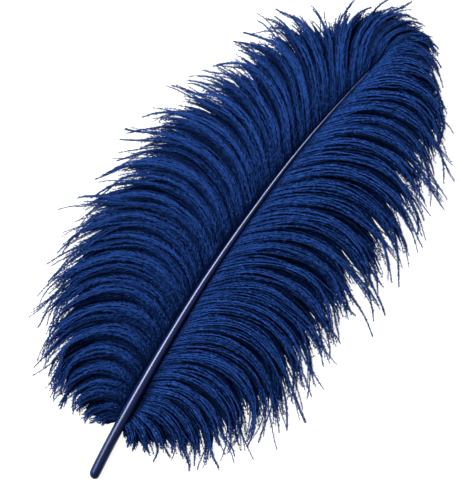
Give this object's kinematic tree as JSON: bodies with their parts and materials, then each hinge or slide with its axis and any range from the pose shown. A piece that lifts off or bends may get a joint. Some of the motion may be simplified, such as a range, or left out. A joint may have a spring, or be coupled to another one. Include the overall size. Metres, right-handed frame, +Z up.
{
  "type": "dyed ostrich feather",
  "caption": "Dyed royal-blue ostrich plume lying flat: a bare rounded quill, a tapering shaft and two wide vanes of soft drooping barbs gathered into pointed locks, with a curled head.",
  "frame": {"origin": "the middle of the feather's box, on the surface that it lies on", "axes": "+Y from the quill's end towards the feather's tip, +X to the right as seen from above, +Z up, out of the feather's upper face"},
  "size_m": [0.2252, 0.4016, 0.0247],
  "materials": {
    "barbs": "soft dyed feather barbs, satin to matte",
    "shaft": "smooth dyed keratin, semi-gloss"
  },
  "bodies": {
    "root": {"feather": "barbs"}
  },
  "joints": []
}
